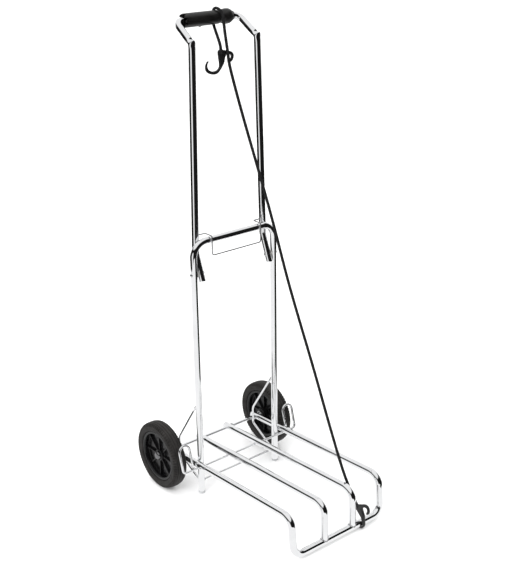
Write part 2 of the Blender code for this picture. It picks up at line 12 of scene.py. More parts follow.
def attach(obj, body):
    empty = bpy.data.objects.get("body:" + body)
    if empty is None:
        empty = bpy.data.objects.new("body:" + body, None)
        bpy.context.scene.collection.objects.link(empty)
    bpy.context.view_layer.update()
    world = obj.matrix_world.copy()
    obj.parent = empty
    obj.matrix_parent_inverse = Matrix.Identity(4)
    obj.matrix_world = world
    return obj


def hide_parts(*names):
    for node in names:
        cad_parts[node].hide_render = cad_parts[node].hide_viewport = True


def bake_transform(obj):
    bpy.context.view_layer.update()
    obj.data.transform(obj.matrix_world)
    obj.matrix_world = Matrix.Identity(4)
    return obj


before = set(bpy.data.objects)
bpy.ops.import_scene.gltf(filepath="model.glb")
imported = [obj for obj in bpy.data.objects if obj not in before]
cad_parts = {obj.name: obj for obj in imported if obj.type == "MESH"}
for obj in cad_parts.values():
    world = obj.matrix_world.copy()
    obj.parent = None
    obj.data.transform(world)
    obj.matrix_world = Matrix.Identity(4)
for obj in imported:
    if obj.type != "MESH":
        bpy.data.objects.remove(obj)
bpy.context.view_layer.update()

MM = 0.001

# ---- sizes, as in the CAD source ----
WHEEL_R, WHEEL_X = 75.0, 148.0
AXLE_R, AXLE_HALF = 4.0, 160.0
TUBE_R, TUBE_WALL, LEG_X, CROSS_Z, FOOT_H = 7.0, 1.2, 104.0, 570.0, 4.0
PLAT_R, PLAT_OUT_X, PLAT_IN_X, PLAT_TAIL, PLAT_TOE_Z = 7.5, 119.2, 38.5, 14.0, 97.0
BAR_Z, OUT_TOE_BACK, TOE_BEND = 11.5, 7.0, 24.0
PIVOT_Z, HANDLE_X, HANDLE_TOP_X, HANDLE_BEHIND = 504.4, 88.0, 79.4, 14.6
STUB_BEND_Z, NECK_Z, GRIP_BEHIND, GRIP_Z, TOP_CORNER_X = 545.0, 957.0, 68.2, 992.7, 76.5
RIVET_R, GRIP_R, GRIP_BALL_R, GRIP_LEFT, GRIP_RIGHT = 2.5, 13.6, 15.0, -61.0, 60.5
WIRE_R, LOWER_ROD_Z, LOOP_IN_X, LOOP_OUT_X, LOOP_TOP_Z, LOOP_LEAN = 2.5, 30.2, 131.0, 157.0, 126.0, 15.0
BAIL_R, BAIL_X, BAIL_Z, BAIL_LOW_Z = 1.3, 63.0, 580.0, 539.0
CORD_R = 3.0
GAP = 0.3
LEG_Y = 84.05
AXLE_Y = LEG_Y + 83.0
BAR_Y = LEG_Y - 318.6
SLOPE = (PLAT_TOE_Z - WHEEL_R) / (AXLE_Y - BAR_Y)
SIDES = ((-1, "left"), (1, "right"))

# ---- camera ----
CAM_AZIMUTH, CAM_ELEVATION, CAM_ROLL = (math.radians(a) for a in (-39.549, 21.254, -0.706))
CAM_AT, CAM_LENS = (-1.2708, -1.5390, 1.2571), 67.2
back = Vector((math.sin(CAM_AZIMUTH) * math.cos(CAM_ELEVATION), -math.cos(CAM_AZIMUTH) * math.cos(CAM_ELEVATION),
               math.sin(CAM_ELEVATION)))
right = Vector((math.cos(CAM_AZIMUTH), math.sin(CAM_AZIMUTH), 0))
up = back.cross(right)
cam_x = right * math.cos(CAM_ROLL) + up * math.sin(CAM_ROLL)
cam_y = up * math.cos(CAM_ROLL) - right * math.sin(CAM_ROLL)
cam_data = bpy.data.cameras.new("camera")
cam_data.sensor_width = 36
cam_data.lens = CAM_LENS
camera = bpy.data.objects.new("camera", cam_data)
bpy.context.scene.collection.objects.link(camera)
cam_turn = Matrix((cam_x, cam_y, back)).transposed().to_4x4()
camera.matrix_world = Matrix.Translation(CAM_AT) @ cam_turn
bpy.context.scene.camera = camera


# ---- materials ----
class Nodes:
    """Short ways to add nodes to a node tree."""

    def __init__(self, tree):
        self.tree = tree

    def add(self, kind, **values):
        node = self.tree.nodes.new(kind)
        for key, value in values.items():
            setattr(node, key, value)
        return node

    def link(self, a, b):
        self.tree.links.new(a, b)

    def maths(self, kind, *values):
        """A maths node on numbers or sockets."""
        node = self.add("ShaderNodeMath", operation=kind)
        for socket, x in zip(node.inputs, values):
            if isinstance(x, (int, float)):
                socket.default_value = x
            else:
                self.link(x, socket)
        return node.outputs[0]


class Shader(Nodes):
    """A Principled material with helpers for the nodes behind it."""

    def __init__(self, name, metal=0.0, specular=0.5):
        self.mat = bpy.data.materials.new(name)
        self.mat.use_nodes = True
        super().__init__(self.mat.node_tree)
        self.bsdf = self.tree.nodes["Principled BSDF"]
        self.bsdf.inputs["Metallic"].default_value = metal
        self.bsdf.inputs["Specular IOR Level"].default_value = specular
        self.coords = self.add("ShaderNodeTexCoord").outputs["Object"]
        self.height = None

    def noise(self, scale, detail=3.0, rough=0.5, stretch=None):
        tex = self.add("ShaderNodeTexNoise")
        tex.inputs["Scale"].default_value = scale
        tex.inputs["Detail"].default_value = detail
        tex.inputs["Roughness"].default_value = rough
        source = self.coords
        if stretch:
            mapping = self.add("ShaderNodeMapping")
            mapping.inputs["Scale"].default_value = stretch
            self.link(source, mapping.inputs["Vector"])
            source = mapping.outputs["Vector"]
        self.link(source, tex.inputs["Vector"])
        return tex.outputs["Fac"]

    def cells(self, scale):
        tex = self.add("ShaderNodeTexVoronoi")
        tex.inputs["Scale"].default_value = scale
        self.link(self.coords, tex.inputs["Vector"])
        return tex.outputs["Distance"]

    def spread(self, value, low, high, to_low, to_high):
        node = self.add("ShaderNodeMapRange")
        for key, x in (("From Min", low), ("From Max", high), ("To Min", to_low), ("To Max", to_high)):
            node.inputs[key].default_value = x
        self.link(value, node.inputs["Value"])
        return node.outputs["Result"]

    def colour(self, value, stops):
        ramp = self.add("ShaderNodeValToRGB")
        elements = ramp.color_ramp.elements
        while len(elements) < len(stops):
            elements.new(0.5)
        for element, (at, rgb) in zip(elements, stops):
            element.position = at
            element.color = (*rgb, 1)
        self.link(value, ramp.inputs["Fac"])
        self.link(ramp.outputs["Color"], self.bsdf.inputs["Base Color"])

    def rough(self, value, low, high, to_low, to_high):
        self.link(self.spread(value, low, high, to_low, to_high), self.bsdf.inputs["Roughness"])

    def bump(self, value, depth):
        node = self.add("ShaderNodeBump")
        node.inputs["Distance"].default_value = depth
        self.link(value, node.inputs["Height"])
        if self.height:
            self.link(self.height, node.inputs["Normal"])
        self.height = node.outputs["Normal"]
        self.link(self.height, self.bsdf.inputs["Normal"])


def chrome(name, rough=(0.03, 0.09), tint=(0.9, 0.905, 0.915), wave=0.00025, grain=0.000006):
    """Bright chrome plate on drawn tube: slight waviness, fine polish marks, a few dull smears."""
    s = Shader(name, metal=1.0)
    smear = s.noise(14, 5, 0.62)
    s.colour(smear, ((0.3, tuple(x * 0.93 for x in tint)), (0.6, tint), (0.8, tuple(min(1, x * 1.03) for x in tint))))
    s.rough(s.noise(34, 6, 0.7, (1, 1, 0.35)), 0.3, 0.75, *rough)
    s.bump(s.noise(26, 2, 0.4, (1, 1, 0.45)), wave)
    s.bump(s.noise(900, 4, 0.7), grain)
    return s.mat


def plated(name):
    """Duller zinc plate on rivets, washers and the axle."""
    s = Shader(name, metal=1.0)
    s.colour(s.noise(90, 5, 0.6), ((0.3, (0.56, 0.56, 0.56)), (0.55, (0.68, 0.685, 0.69)), (0.75, (0.74, 0.74, 0.73))))
    s.rough(s.noise(130, 4, 0.6), 0.3, 0.7, 0.12, 0.26)
    s.bump(s.noise(500, 4, 0.6), 0.000008)
    return s.mat


def plastic(name, dark, light, rough, grain_scale, grain_depth, specular=0.5):
    """Moulded plastic: fine spark-eroded grain, uneven gloss and a little dust."""
    s = Shader(name, specular=specular)
    s.colour(s.noise(70, 6, 0.65), ((0.35, dark), (0.72, light)))
    s.rough(s.noise(120, 5, 0.6), 0.3, 0.7, *rough)
    s.bump(s.noise(60, 2, 0.5), 0.00006)
    s.bump(s.cells(grain_scale), grain_depth)
    return s.mat


def rubber(name):
    """Tyre rubber: dull, slightly brown, with lighter dusty patches at random and a mould-matt grain."""
    s = Shader(name, specular=0.25)
    s.colour(s.noise(48, 8, 0.7), ((0.3, (0.012, 0.0112, 0.0107)), (0.55, (0.021, 0.0195, 0.0185)),
                                   (0.8, (0.038, 0.035, 0.033))))
    s.rough(s.noise(85, 6, 0.6), 0.3, 0.75, 0.52, 0.74)
    s.bump(s.noise(420, 5, 0.65), 0.00010)
    s.bump(s.cells(1500), 0.00003)
    return s.mat


def braid(name):
    """Woven sheath of the elastic cord.  U runs once round the cord, V along it in cord diameters."""
    s = Shader(name, specular=0.3)
    uv = s.add("ShaderNodeSeparateXYZ")
    s.link(s.add("ShaderNodeTexCoord").outputs["UV"], uv.inputs[0])
    around = s.maths("MULTIPLY", uv.outputs["X"], 8.0)
    along = s.maths("MULTIPLY", uv.outputs["Y"], 2.5)
    a, b = s.maths("ADD", along, around), s.maths("SUBTRACT", along, around)
    lift_a = s.maths("ABSOLUTE", s.maths("SINE", s.maths("MULTIPLY", a, math.pi)))
    lift_b = s.maths("ABSOLUTE", s.maths("SINE", s.maths("MULTIPLY", b, math.pi)))
    turn = s.maths("ADD", s.maths("FLOOR", a), s.maths("FLOOR", b))
    over = s.maths("FLOORED_MODULO", turn, 2.0)
    under = s.maths("SUBTRACT", 1.0, over)
    height = s.maths("ADD", s.maths("MULTIPLY", lift_a, over), s.maths("MULTIPLY", lift_b, under))
    fibre = s.noise(1400, 3, 0.6)
    # Colour: the strands' crowns lighter and the grooves between them darker, a painted shade of the weave, mixed with
    # a random fibre tone.
    s.colour(s.maths("ADD", s.maths("MULTIPLY", height, 0.6), s.maths("MULTIPLY", fibre, 0.4)),
             ((0.15, (0.002, 0.002, 0.002)), (0.6, (0.006, 0.006, 0.0063)), (0.9, (0.014, 0.014, 0.0146))))
    s.rough(fibre, 0.3, 0.7, 0.6, 0.85)
    s.bump(height, 0.00030)
    s.bump(fibre, 0.00008)
    return s.mat


CHROME = chrome("chrome_plate")
CHROME_WIRE = chrome("chrome_wire", rough=(0.05, 0.13), wave=0.00012)
# The bail's chrome at half the brightness of the other wire: the dark reflections its thin wire shows are painted into
# its colour.
BAIL_WIRE = chrome("bail_chrome_painted_dark", rough=(0.06, 0.15), tint=(0.46, 0.46, 0.47), wave=0.00012)
WELD = chrome("chrome_over_weld", rough=(0.14, 0.34), tint=(0.72, 0.72, 0.73), wave=0.0006, grain=0.00009)
BORE = chrome("bare_tube_bore", rough=(0.35, 0.6), tint=(0.32, 0.31, 0.3), grain=0.00004)
ZINC = plated("zinc_plate")
# The push caps' chrome at a fifth of the usual brightness: the dark reflections the hubs show are painted into its
# colour.
CAP = chrome("cap_chrome_painted_dark", rough=(0.16, 0.3), tint=(0.2, 0.2, 0.205), wave=0.0004, grain=0.00003)
RUBBER = rubber("tyre_rubber_moulded")
RIM = plastic("rim_plastic", (0.0028, 0.0028, 0.003), (0.0065, 0.0065, 0.007), (0.12, 0.24), 1100, 0.000012, 0.25)
GRIP = plastic("grip_moulding", (0.004, 0.0037, 0.0036), (0.010, 0.0092, 0.009), (0.28, 0.42), 1300, 0.00005, 0.4)
HOOK = plastic("hook_moulding", (0.006, 0.006, 0.0062), (0.014, 0.014, 0.0146), (0.3, 0.44), 1000, 0.00003, 0.4)
PLUG = plastic("foot_plug_plastic", (0.50, 0.51, 0.52), (0.66, 0.67, 0.68), (0.28, 0.5), 900, 0.00003)
# White nylon painted a warm mid grey: the shade that falls between the legs and the handle tube is painted into its
# colour. The hub bushes share it.
NYLON_SHADED = plastic("nylon_painted_grey_shade", (0.34, 0.335, 0.32), (0.46, 0.455, 0.44), (0.35, 0.55), 900, 0.00003)
CORD = braid("cord_braid")


# ---- mesh tools ----
CHAMFER = 0.35              # on every tube and wire end
BORE_DEPTH = 26             # how far an open tube end is hollow


def V(x, y, z):
    """A point given in millimetres."""
    return Vector((x, y, z)) * MM


def full_turn(steps, offset=0):
    """Evenly spaced angles round a circle."""
    return [2 * math.pi * (k + offset) / steps for k in range(steps)]


def put(name, bm, mats, body, nodes=(), sharp=35):
    """Store a bmesh as a piece, hang it on what it rides on and hide the CAD nodes that it stands for."""
    bmesh.ops.recalc_face_normals(bm, faces=bm.faces)
    mesh = bpy.data.meshes.new(name)
    bm.to_mesh(mesh)
    bm.free()
    mesh.shade_smooth()
    mesh.set_sharp_from_angle(angle=math.radians(sharp))
    for mat in mats if isinstance(mats, (list, tuple)) else [mats]:
        mesh.materials.append(mat)
    ob = bpy.data.objects.new(name, mesh)
    bpy.context.scene.collection.objects.link(ob)
    if body:
        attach(ob, body)
    if nodes:
        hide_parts(*nodes)
    return ob


def rounded(points, radii, step=6):
    """A path through points whose corners are arcs of the given radii in millimetres."""
    out = [points[0]]
    for i in range(1, len(points) - 1):
        a, b, c = points[i - 1:i + 2]
        u, v = (a - b).normalized(), (c - b).normalized()
        turn = math.pi - u.angle(v)
        r = radii[i - 1] * MM
        if turn < 1e-3 or r <= 0:
            out.append(b)
            continue
        cut = r * math.tan(turn / 2)
        centre = b + (u + v).normalized() * (r / math.cos(turn / 2))
        start, axis = b + u * cut - centre, u.cross(v).normalized()
        n = max(2, round(math.degrees(turn) / step))
        out += [centre + Matrix.Rotation(-turn * k / n, 3, axis) @ start for k in range(n + 1)]
    out.append(points[-1])
    return out


def both_sides(half, bends, step=6):
    """A rounded path that runs along half(-1) and back along half(1), with the bends of one half."""
    return rounded(half(-1) + half(1)[::-1], bends + bends[::-1], step)


def dense(path, gap):
    """The same path with no two points further apart than gap millimetres."""
    out = [path[0]]
    for a, b in zip(path, path[1:]):
        n = max(1, math.ceil((b - a).length / (gap * MM)))
        out += [a.lerp(b, k / n) for k in range(1, n + 1)]
    return out


def rings(bm, path, radius, sides):
    """Cross-section rings carried along a path without twisting.

    radius is a number or a list of one for each point, in metres.
    """
    tangent = (path[1] - path[0]).normalized()
    side = tangent.orthogonal().normalized()
    if abs(tangent.x) < 0.9:
        side = (Vector((1, 0, 0)) - tangent * tangent.x).normalized()
    made = []
    for i, p in enumerate(path):
        before = (p - path[i - 1]).normalized() if i else None
        after = (path[i + 1] - p).normalized() if i < len(path) - 1 else None
        if i:
            side = tangent.rotation_difference(before) @ side
            tangent = before
        over = tangent.cross(side).normalized()
        r = radius[i] if isinstance(radius, (list, tuple)) else radius
        ring = []
        for t in full_turn(sides, 0.5):
            off = side * (math.cos(t) * r) + over * (math.sin(t) * r)
            if before and after:
                mitre = (before + after).normalized()
                off -= tangent * (off.dot(mitre) / tangent.dot(mitre))
            ring.append(bm.verts.new(p + off))
        made.append(ring)
    return made


def skin(bm, made, material=0, closed=True):
    """Faces between each ring and the next, or between open lines of points."""
    for a, b in zip(made, made[1:]):
        n = len(a)
        for k in range(n if closed else n - 1):
            bm.faces.new((a[k], a[(k + 1) % n], b[(k + 1) % n], b[k])).material_index = material


def shut(bm, ring, material=0):
    """One face that closes a ring."""
    bm.faces.new(ring).material_index = material


def capped(bm, made):
    """A skin over the rings and both ends."""
    skin(bm, made)
    shut(bm, made[0])
    shut(bm, made[-1])


def cut_end(path, depth):
    """The path with one more point, depth millimetres from its start."""
    away = (path[1] - path[0]).normalized()
    return [path[0], path[0] + away * (depth * MM)] + path[1:]


def tube(bm, path, radius, wall, sides, ends, gap):
    """A round tube along a path.  An open end shows its wall and a bore; a closed one is chamfered solid."""
    path = cut_end(cut_end(dense(path, gap), CHAMFER)[::-1], CHAMFER)[::-1]
    radii = [radius * MM] * len(path)
    radii[0] = radii[-1] = (radius - CHAMFER) * MM
    outer = rings(bm, path, radii, sides)
    skin(bm, outer)
    for first, second, ring, is_open in ((path[0], path[2], outer[0], ends[0]),
                                         (path[-1], path[-3], outer[-1], ends[1])):
        if not (is_open and wall):
            shut(bm, ring)
            continue
        inward = (second - first).normalized()
        mid = sum((v.co for v in ring), Vector()) / sides
        share = (radius - wall) / (radius - CHAMFER)
        inner = [[bm.verts.new(mid + (v.co - mid) * share + inward * (depth * MM)) for v in ring]
                 for depth in (0, BORE_DEPTH)]
        skin(bm, [ring, inner[0]])
        skin(bm, inner, 1)
        shut(bm, inner[1], 1)
    return outer, path


def wire(name, path, radius, mat, body, node, sides=16):
    """A round wire along a path, as one piece."""
    bm = bmesh.new()
    tube(bm, path, radius, None, sides, (False, False), 20)
    return put(name, bm, mat, body, (node,), 50)


def lathe(bm, profile, centre, steps, closed=True, sway=None):
    """Turn (x, radius) pairs in millimetres about a line along X.  sway(i, angle, x, r) may move a point."""
    made = []
    for a in full_turn(steps, 0.5):
        ring = []
        for i, (x, r) in enumerate(profile):
            if sway:
                x, r = sway(i, a, x, r)
            ring.append(bm.verts.new(centre + V(x, r * math.cos(a), r * math.sin(a))))
        made.append(ring)
    skin(bm, made + [made[0]], closed=closed)
    if not closed:
        shut(bm, [m[0] for m in made])
        shut(bm, [m[-1] for m in made])


def turned(name, profile, centre, mat, body, node, steps, closed=True, s=1, soft=0.0):
    """A piece turned about a line along X, with corners rounded by soft millimetres; s = -1 mirrors it to the left."""
    bm = bmesh.new()
    if soft:
        profile = softened(profile, soft, closed)
    lathe(bm, [(s * x, r) for x, r in profile], centre, steps, closed)
    return put(name, bm, mat, body, (node,), 32)


def softened(profile, radius, closed=True):
    """Round the corners of a (x, r) profile."""
    steps = 3
    out, n = [], len(profile)
    for i in range(n):
        if not closed and i in (0, n - 1):
            out.append(profile[i])
            continue
        a, b, c = (Vector(profile[(i + d) % n]) for d in (-1, 0, 1))
        u, v = a - b, c - b
        if u.length < 1e-6 or v.length < 1e-6 or abs(math.pi - u.angle(v)) < math.radians(14):
            out.append(tuple(b))
            continue
        cut = min(radius, u.length * 0.4, v.length * 0.4)
        p, q = b + u.normalized() * cut, b + v.normalized() * cut
        for k in range(steps + 1):
            t = k / steps
            out.append(tuple(p * (1 - t) ** 2 + b * (2 * t * (1 - t)) + q * t ** 2))
    return out


def blob(bm, centre, size, seed=0.0):
    """A lumpy ellipsoid of weld metal; size is its half lengths in millimetres."""
    large, small = 0.22, 0.088
    for v in bmesh.ops.create_icosphere(bm, subdivisions=3, radius=1)["verts"]:
        d = v.co.normalized()
        lump = (1 + large * noise.noise(d * 2.1 + Vector((seed, seed * 1.7, 0)))
                + small * noise.noise(d * 6 + Vector((seed, 0, 3))))
        v.co = centre + Vector((d.x * size[0], d.y * size[1], d.z * size[2])) * lump * MM


def bead(bm, centre, axis, major, minor, seed=0.0, steps=40, lift=None):
    """A weld bead round a joint; lift(angle) moves it along the axis, in millimetres."""
    axis = Vector(axis).normalized()
    side = axis.orthogonal().normalized()
    if abs(axis.z) > 0.9:
        side = Vector((1, 0, 0))
    over = axis.cross(side)
    made = []
    for a in full_turn(steps):
        out = side * math.cos(a) + over * math.sin(a)
        swell = (1 + 0.28 * math.sin(a * 11 + seed)
                 + 0.25 * noise.noise(Vector((math.cos(a) * 2, math.sin(a) * 2, seed))))
        mid = centre + out * (major * MM) + axis * ((lift(a) if lift else 0) * MM)
        made.append([bm.verts.new(mid + (out * math.cos(t) + axis * math.sin(t)) * (minor * swell * MM))
                     for t in full_turn(8)])
    skin(bm, made + [made[0]])


# ---- the elastic cord ----
HEAD_U, HEAD_V = 16.0, 31.6
UP_HOOK = V(-17.4, LEG_Y + 27.5, 903.8)
LEAN = math.radians(40)
low_up = Vector((0, math.sin(LEAN), math.cos(LEAN)))
low_across = Vector((0, -math.cos(LEAN), math.sin(LEAN)))
LOW_HOOK = V(61.0, BAR_Y + 0.5, BAR_Z + 2.5)
SINK = 4.0                  # how far the cord runs on into each hook's head

wrap_r = GRIP_R + CORD_R + 0.4
cord_start = UP_HOOK + V(HEAD_U, 0, HEAD_V - SINK)
cord_finish = LOW_HOOK + (low_across * HEAD_U + low_up * (HEAD_V - SINK)) * MM
route = [cord_start, cord_start + V(0, 0, SINK + 3), cord_start + V(1.0, 3.0, SINK + 10)]
for degrees, x in ((-50, 21.5), (-28, 24.5), (-6, 26.5), (16, 26), (38, 24), (60, 22.5), (82, 21.5), (104, 21.5),
                   (126, 22.5), (146, 24)):
    t = math.radians(degrees)
    route.append(V(x, LEG_Y + GRIP_BEHIND + wrap_r * math.cos(t), GRIP_Z + wrap_r * math.sin(t)))
for x, y, z in ((17, 36, 962), (9.8, 19.8, 930), (9, 15.5, 912), (14, -5, 842), (27.3, -84, 625), (33, -132, 488),
                (36.5, -204, 322), (42.6, -252, 196), (46.4, -288, 112)):
    route.append(V(x, LEG_Y + y, z))
route += [cord_finish + low_up * ((SINK + 9) * MM), cord_finish + low_up * ((SINK + 3) * MM), cord_finish]
# Points of the route: the upper length gives between the first two, the two lengths meet at the third, in front of
# the legs, and the lower length gives from there to the fourth.
UPPER_FROM, UPPER_TO, SPLIT, LOWER_TO = 16, 17, 18, 21


def smooth(points, gap):
    """A centripetal Catmull-Rom curve through the points, with a point about every gap millimetres.
    The second result is the number of the new point that stands for each old one."""
    pts = [points[0] * 2 - points[1]] + points + [points[-1] * 2 - points[-2]]
    out, kept = [], []
    for i in range(1, len(pts) - 2):
        p0, p1, p2, p3 = pts[i - 1:i + 3]
        t0, t1 = 0.0, (p1 - p0).length ** 0.5
        t2 = t1 + (p2 - p1).length ** 0.5
        t3 = t2 + (p3 - p2).length ** 0.5
        n = max(1, round((p2 - p1).length / (gap * MM)))
        kept.append(len(out))
        for k in range(n):
            t = t1 + (t2 - t1) * k / n
            a1 = p0 * ((t1 - t) / (t1 - t0)) + p1 * ((t - t0) / (t1 - t0))
            a2 = p1 * ((t2 - t) / (t2 - t1)) + p2 * ((t - t1) / (t2 - t1))
            a3 = p2 * ((t3 - t) / (t3 - t2)) + p3 * ((t - t2) / (t3 - t2))
            b1 = a1 * ((t2 - t) / (t2 - t0)) + a2 * ((t - t0) / (t2 - t0))
            b2 = a2 * ((t3 - t) / (t3 - t1)) + a3 * ((t - t1) / (t3 - t1))
            out.append(b1 * ((t2 - t) / (t2 - t1)) + b2 * ((t - t1) / (t2 - t1)))
    kept.append(len(out))
    return out + [points[-1]], kept


line, kept = smooth(route, 2.0)
CORD_SIDES = 16
cord_bm = bmesh.new()
cord_rings = rings(cord_bm, line, CORD_R * MM, CORD_SIDES)
ring_points = [[v.co.copy() for v in ring] for ring in cord_rings]
cord_bm.free()
run = [0.0]
for a, b in zip(line, line[1:]):
    run.append(run[-1] + (b - a).length)


def cord_piece(name, first, last):
    """One length of the cord as a mesh tube with its weave's coordinates, which run on unbroken across the joint."""
    bm = bmesh.new()
    uv = bm.loops.layers.uv.new("weave")
    made = [[bm.verts.new(p) for p in ring] for ring in ring_points[first:last + 1]]
    for i, (a, b) in enumerate(zip(made, made[1:])):
        for k in range(CORD_SIDES):
            j = (k + 1) % CORD_SIDES
            face = bm.faces.new((a[k], a[j], b[j], b[k]))
            across = (k / CORD_SIDES, (k + 1) / CORD_SIDES, (k + 1) / CORD_SIDES, k / CORD_SIDES)
            length = [run[first + i] / (2 * CORD_R * MM)] * 2 + [run[first + i + 1] / (2 * CORD_R * MM)] * 2
            for loop, u, v in zip(face.loops, across, length):
                loop[uv].uv = (u, v)
    shut(bm, made[0])
    shut(bm, made[-1])
    ob = put(name, bm, CORD, None, ("cord",), 60)
    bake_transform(ob)
    return ob


split = kept[SPLIT]
cord_upper = cord_piece("cord_upper", 0, split)
cord_lower = cord_piece("cord_lower", split, len(line) - 1)


# ---- hooks ----
def arc(degrees):
    """A unit vector at an angle in the hook's drawing."""
    return Vector((math.cos(math.radians(degrees)), math.sin(math.radians(degrees))))


def curve_through(points, n=5):
    """Points on a smooth flat curve through the given points."""
    pts = [points[0] * 2 - points[1]] + points + [points[-1] * 2 - points[-2]]
    out = []
    for i in range(1, len(pts) - 2):
        p0, p1, p2, p3 = pts[i - 1:i + 3]
        for k in range(n):
            t = k / n
            out.append(0.5 * (2 * p1 + (p2 - p0) * t + (2 * p0 - 5 * p1 + 4 * p2 - p3) * t * t
                              + (3 * p1 - p0 - 3 * p2 + p3) * t ** 3))
    return out + [points[-1]]


def points(*pairs):
    """Flat points from (u, v) pairs."""
    return [Vector(p) for p in pairs]


# The hook's outline in millimetres from the J's centre: from the shank's right edge round the inside and outside of
# the curl to the head, and down again.
CURL = points((19.4, 2.8), (22.8, 8.6), (23.8, 13.8), (25.2, 18.2), (28.6, 21.4), (33.4, 22.6), (37.8, 21.6),
              (41, 18.4), (40.8, 15), (37.4, 11.8), (33.4, 9.8), (32.6, 8), (34.4, 6.4), (38, 6.4), (42.6, 9.4),
              (45.8, 14.6), (46.2, 20.6), (42.8, 25.6), (37.2, 28.2), (30.6, 29.6), (24, 31.4), (16.4, 32.6),
              (11.6, 31.8), (9.5, 28.6), (9.9, 22), (11, 14.5), (12.3, 6))


def wide_j():
    """The upper hook's wide J: its inside from the shank to the tip, and its outside from the tip to the shank."""
    inside = curve_through(points((12.3, 6), (11.8, 0.6), (8.8, -3.6), (3, -6.6), (-6, -6.6), (-14.4, -3),
                                  (-18.2, 3.6), (-17.2, 9.6), (-14.6, 13.2)))
    outside = curve_through(points((-15.4, 14.3), (-19.2, 11.6), (-22.4, 4.4), (-21.2, -3.8), (-15.8, -9.2),
                                   (-6, -12.6), (4.2, -12), (12, -6.4), (19.4, 2.8)))
    return inside, outside


def bar_j():
    """The lower hook's J, round the front bar and thin enough underneath to clear the floor."""
    inside = [Vector((12.3, 6))] + [arc(a) * 10.4 for a in range(6, -205, -6)]
    outside = [arc(a) * (12.3 + 2.0 * min(1, (a - 150) / 120)) for a in range(150, 331, 6)]
    return inside, outside + curve_through([outside[-1], Vector((15.6, -2.6)), Vector((19.4, 2.8))])[1:]


def hook(name, origin, across, upward, shape, body, node):
    """A flat moulded hook with rounded edges: J, shank that fans out to the head, and a curl on the outer side."""
    across, upward = Vector(across).normalized(), Vector(upward).normalized()
    out = across.cross(upward).normalized()
    inside, outside = shape
    outline = curve_through(CURL) + inside[1:] + outside[:-1]
    # drop points that lie almost on each other
    clean = [p for i, p in enumerate(outline) if (p - outline[i - 1]).length > 0.2]
    n = len(clean)
    turning = sum(clean[i - 1].x * clean[i].y - clean[i].x * clean[i - 1].y for i in range(n))
    inward = []
    for i in range(n):
        a, b, c = clean[i - 1], clean[i], clean[(i + 1) % n]
        d = (b - a).normalized() + (c - b).normalized()
        d = d.normalized() if d.length > 1e-6 else (b - a).normalized()
        inward.append(Vector((-d.y, d.x)) * (1 if turning > 0 else -1))

    def half_thickness(p):
        """3 mm at the shank, thinner towards the J's tip and a little thinner in the curl."""
        near_tip = max(0.0, min(1.0, (p.x + 13.5) / 22))
        t = 1.7 + 1.3 * near_tip ** 0.7
        if p.x > 27:
            t = min(t, 2.5)
        return t

    def bevel(p):
        """The edge's rounding, small enough at the tip for the outline not to cross itself."""
        return 0.5 if p.x < -6 else 1.0

    bm = bmesh.new()
    layers = []
    for k in range(9):
        swing = math.pi * k / 8 - math.pi / 2
        ring_verts = []
        for p, d in zip(clean, inward):
            t = half_thickness(p)
            edge = min(bevel(p), t * 0.62)
            flat = t - edge
            z = math.copysign(flat, math.sin(swing)) + math.sin(swing) * edge if abs(math.sin(swing)) > 1e-6 else 0.0
            q = p + d * (edge * (1 - math.cos(swing)))
            ring_verts.append(bm.verts.new(origin + (across * q.x + upward * q.y + out * z) * MM))
        layers.append(ring_verts)
    capped(bm, layers)
    # moulded collar where the cord goes in
    axis_at = origin + (across * HEAD_U + upward * (HEAD_V - 3.5)) * MM
    made = []
    bore = CORD_R - 0.15
    for height, r in ((-4, 2.6), (-2.5, 4.0), (3.2, 4.4), (4.6, 4.1), (5.0, 3.5), (4.4, bore), (1.0, bore)):
        made.append([bm.verts.new(axis_at + (upward * height + (across * math.cos(a) + out * math.sin(a)) * r) * MM)
                     for a in full_turn(24)])
    capped(bm, made)
    return put(name, bm, HOOK, body, (node,), 40)


hook_upper = hook("hook_upper_moulded", UP_HOOK, (1, 0, 0), (0, 0, 1), wide_j(), "handle", "hook_upper")
hook_lower = hook("hook_lower_moulded", LOW_HOOK, low_across, low_up, bar_j(), "platform", "hook_lower")

# ---- frame ----
CROSS_BEND = 30


def leg(s):
    return [V(s * LEG_X, LEG_Y, FOOT_H + GAP), V(s * LEG_X, LEG_Y, CROSS_Z)]


bm = bmesh.new()
tube(bm, both_sides(leg, [CROSS_BEND]), TUBE_R, TUBE_WALL, 32, (False, False), 40)
put("frame_tube_chromed", bm, [CHROME, BORE], "frame", ("frame_tube",), 50)

deck_z = WHEEL_R + SLOPE * (AXLE_Y - LEG_Y + TUBE_R + WIRE_R + GAP)
GUARD_Z = deck_z - PLAT_R * math.sqrt(1 + SLOPE ** 2) - GAP - WIRE_R
GUARD_Y = LEG_Y - TUBE_R - WIRE_R - GAP
loop_bend = (LOOP_OUT_X - LOOP_IN_X) / 2 * 0.97
loop_y = GUARD_Y + LOOP_LEAN


def guard_half(s):
    """One side's loop in the guard rod: from its end up, over and down to the cross wire."""
    end_y = GUARD_Y + LOOP_LEAN * (2 * WIRE_R + GAP) / (LOOP_TOP_Z - GUARD_Z)
    return [V(s * LOOP_IN_X, end_y, GUARD_Z + 2 * WIRE_R + GAP), V(s * LOOP_IN_X, loop_y, LOOP_TOP_Z),
            V(s * LOOP_OUT_X, loop_y, LOOP_TOP_Z), V(s * LOOP_OUT_X, GUARD_Y, GUARD_Z)]


